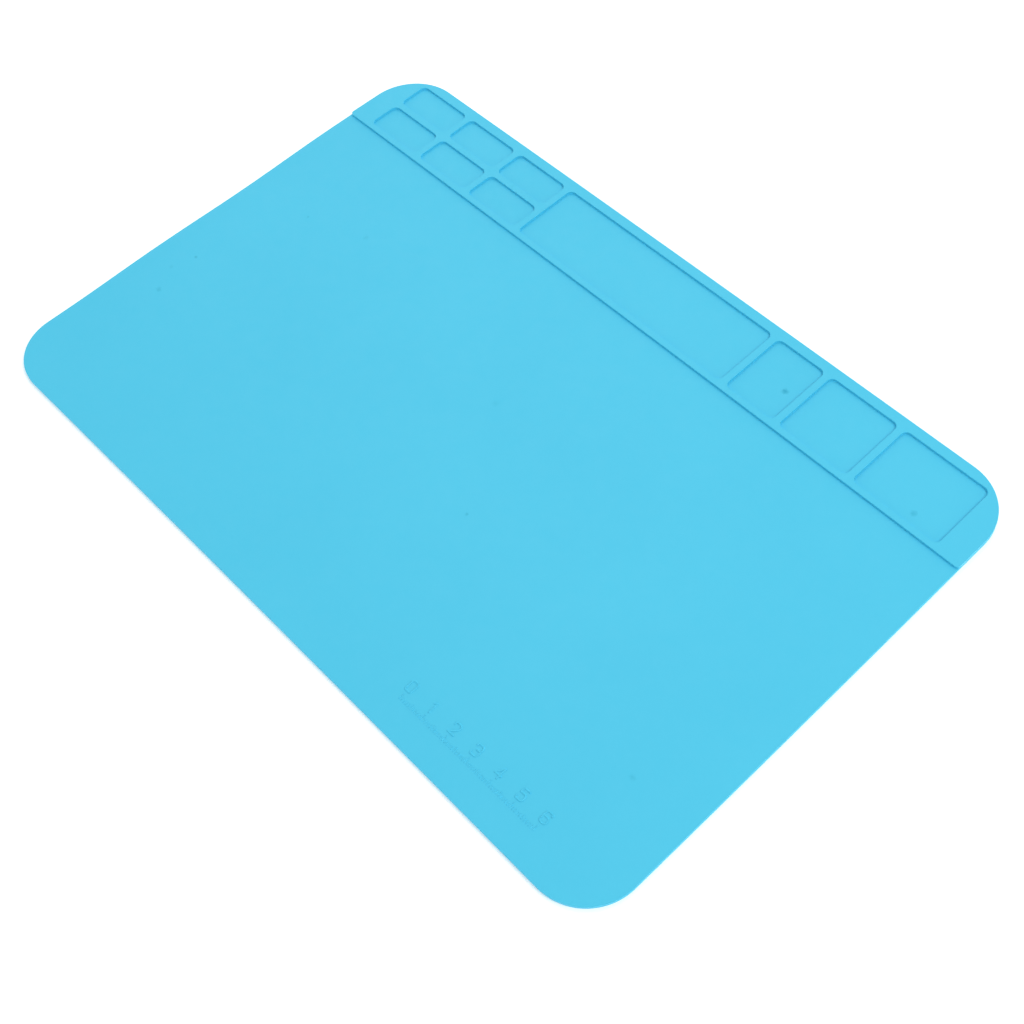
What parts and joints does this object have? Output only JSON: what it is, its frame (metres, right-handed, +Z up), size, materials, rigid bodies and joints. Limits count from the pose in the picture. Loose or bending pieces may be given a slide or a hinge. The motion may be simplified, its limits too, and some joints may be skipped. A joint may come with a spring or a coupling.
{
  "type": "soldering mat",
  "caption": "Thin rectangular silicone work mat with round corners and a raised strip of shallow parts compartments along its back edge.",
  "frame": {"origin": "under the mat's middle, in the plane that it lies on", "axes": "+X runs along the long side, +Y to the back edge with the strip of compartments, +Z up through the thickness"},
  "size_m": [0.3, 0.2, 0.003],
  "materials": {
    "silicone": "matte cyan-blue silicone rubber, fine moulded grain"
  },
  "bodies": {
    "root": {"mat": "silicone"}
  },
  "joints": []
}
